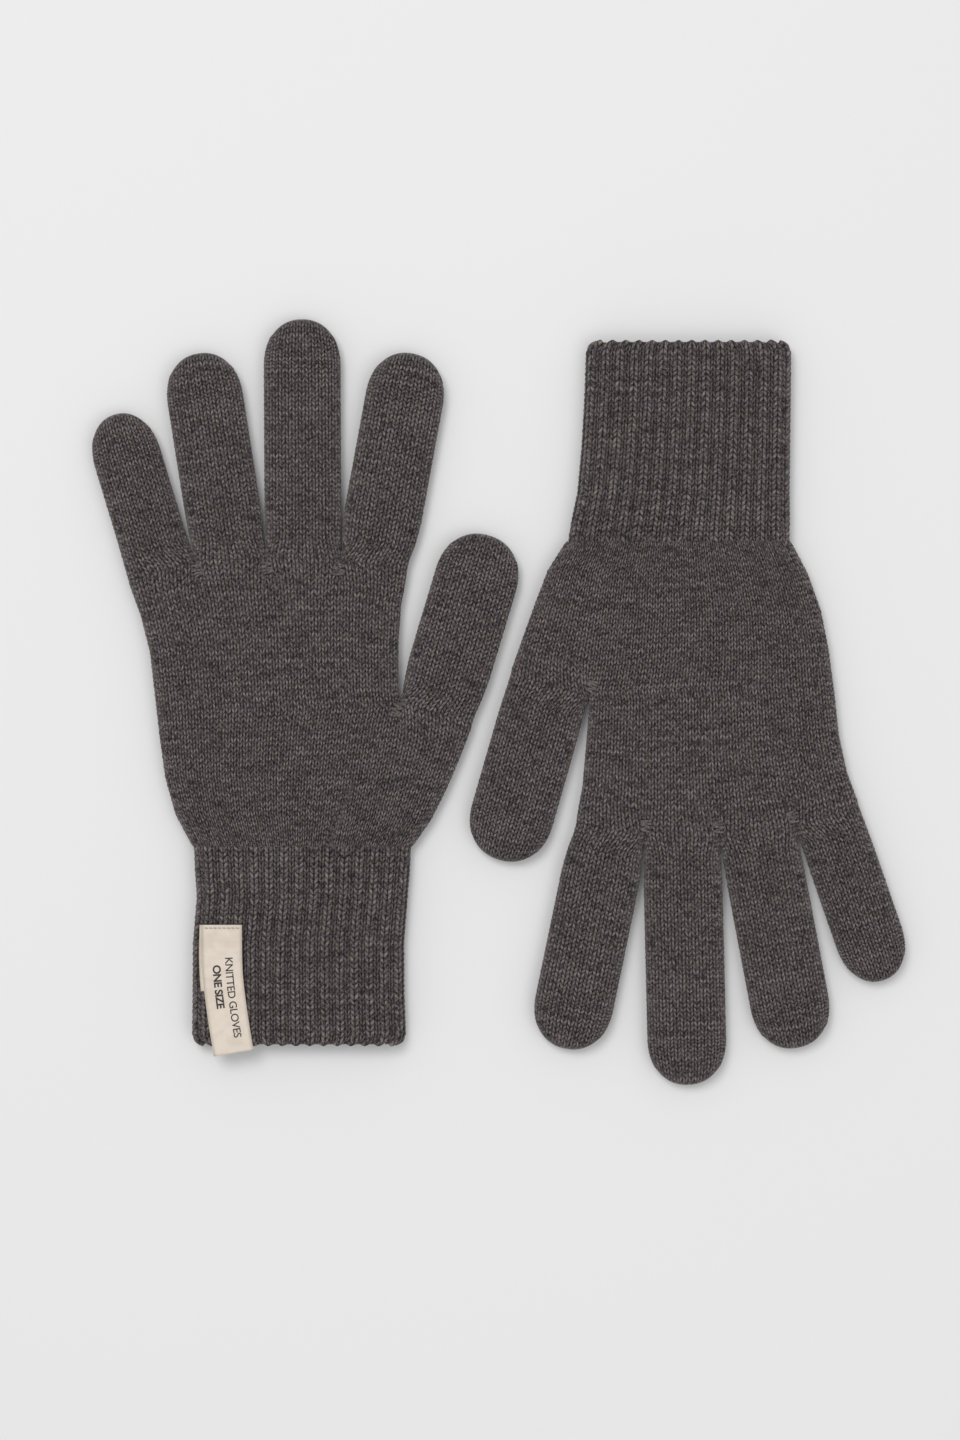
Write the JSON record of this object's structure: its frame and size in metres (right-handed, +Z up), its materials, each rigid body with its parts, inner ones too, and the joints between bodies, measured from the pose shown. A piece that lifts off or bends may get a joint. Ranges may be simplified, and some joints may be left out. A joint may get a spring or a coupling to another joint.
{
  "type": "pair of knitted gloves",
  "caption": "Pair of five-finger knitted gloves lying flat, one turned end for end, with ribbed cuffs and two woven labels sewn to one cuff.",
  "frame": {"origin": "centre of the pair's bounding box, on the surface that the gloves lie on", "axes": "+Z up from the surface, +Y towards the left glove's fingertips, +X from the left glove to the right one"},
  "size_m": [0.28, 0.2641, 0.0119],
  "materials": {
    "stockinette_knit": "marled wool-blend yarn, matte",
    "rib_knit": "marled wool-blend yarn in 1x1 rib, matte",
    "darning_yarn": "doubled yarn, matte",
    "label_tape": "woven ribbon, satin",
    "label_thread": "sewing thread"
  },
  "bodies": {
    "left_hand": {"left_hand": "stockinette_knit", "left_little_ring_darn": "darning_yarn", "left_ring_middle_darn": "darning_yarn", "left_middle_index_darn": "darning_yarn", "left_thumb_darn": "darning_yarn"},
    "left_little_finger": {"left_little_finger": "stockinette_knit"},
    "left_ring_finger": {"left_ring_finger": "stockinette_knit"},
    "left_middle_finger": {"left_middle_finger": "stockinette_knit"},
    "left_index_finger": {"left_index_finger": "stockinette_knit"},
    "left_thumb": {"left_thumb": "stockinette_knit"},
    "left_cuff": {"left_cuff": "rib_knit", "left_cuff_edge": "rib_knit"},
    "right_hand": {"right_hand": "stockinette_knit", "right_little_ring_darn": "darning_yarn", "right_ring_middle_darn": "darning_yarn", "right_middle_index_darn": "darning_yarn", "right_thumb_darn": "darning_yarn"},
    "right_little_finger": {"right_little_finger": "stockinette_knit"},
    "right_ring_finger": {"right_ring_finger": "stockinette_knit"},
    "right_middle_finger": {"right_middle_finger": "stockinette_knit"},
    "right_index_finger": {"right_index_finger": "stockinette_knit"},
    "right_thumb": {"right_thumb": "stockinette_knit"},
    "right_cuff": {"right_cuff": "rib_knit", "right_cuff_edge": "rib_knit"},
    "labels": {"care_label": "label_tape", "size_label": "label_tape", "label_thread": "label_thread"}
  },
  "joints": [
    {"name": "left_little_finger_fold", "type": "hinge", "parent": "left_hand", "child": "left_little_finger", "pos_m": [-0.11563, 0.04233, 0.0084], "axis": [0.9892, 0.1467, 0], "range_deg": [0, 90]},
    {"name": "left_ring_finger_fold", "type": "hinge", "parent": "left_hand", "child": "left_ring_finger", "pos_m": [-0.09237, 0.04776, 0.0084], "axis": [0.997, 0.0777, 0], "range_deg": [0, 90]},
    {"name": "left_middle_finger_fold", "type": "hinge", "parent": "left_hand", "child": "left_middle_finger", "pos_m": [-0.0675, 0.04817, 0.0084], "axis": [1, 0.0024, 0], "range_deg": [0, 90]},
    {"name": "left_index_finger_fold", "type": "hinge", "parent": "left_hand", "child": "left_index_finger", "pos_m": [-0.04333, 0.04535, 0.0084], "axis": [0.9959, -0.0904, 0], "range_deg": [0, 90]},
    {"name": "left_thumb_fold", "type": "hinge", "parent": "left_hand", "child": "left_thumb", "pos_m": [-0.02202, -0.00494, 0.0084], "axis": [0.9579, -0.2872, 0], "range_deg": [0, 90]},
    {"name": "left_cuff_fold", "type": "hinge", "parent": "left_hand", "child": "left_cuff", "pos_m": [-0.0677, -0.0503, 0.0092], "axis": [-1, 0, 0], "range_deg": [0, 90]},
    {"name": "right_little_finger_fold", "type": "hinge", "parent": "right_hand", "child": "right_little_finger", "pos_m": [0.11261, -0.03668, 0.0084], "axis": [-0.9862, -0.1656, 0], "range_deg": [0, 90]},
    {"name": "right_ring_finger_fold", "type": "hinge", "parent": "right_hand", "child": "right_ring_finger", "pos_m": [0.08885, -0.04323, 0.0084], "axis": [-0.9956, -0.0935, 0], "range_deg": [0, 90]},
    {"name": "right_middle_finger_fold", "type": "hinge", "parent": "right_hand", "child": "right_middle_finger", "pos_m": [0.0631, -0.04505, 0.0084], "axis": [-0.9999, -0.0121, 0], "range_deg": [0, 90]},
    {"name": "right_index_finger_fold", "type": "hinge", "parent": "right_hand", "child": "right_index_finger", "pos_m": [0.03877, -0.04161, 0.0084], "axis": [-0.9948, 0.1016, 0], "range_deg": [0, 90]},
    {"name": "right_thumb_fold", "type": "hinge", "parent": "right_hand", "child": "right_thumb", "pos_m": [0.01776, 0.00674, 0.0084], "axis": [-0.9613, 0.2756, 0], "range_deg": [0, 90]},
    {"name": "right_cuff_fold", "type": "hinge", "parent": "right_hand", "child": "right_cuff", "pos_m": [0.0622, 0.0558, 0.0092], "axis": [1, 0, 0], "range_deg": [0, 90]},
    {"name": "label_flip", "type": "hinge", "parent": "left_cuff", "child": "labels", "pos_m": [-0.0951, -0.0763, 0.00945], "axis": [-1, 0, 0], "range_deg": [0, 90]},
    {"name": "right_glove_lift", "type": "slide", "parent": "left_hand", "child": "right_hand", "axis": [0, 0, 1], "range_m": [0, 0.1]}
  ]
}
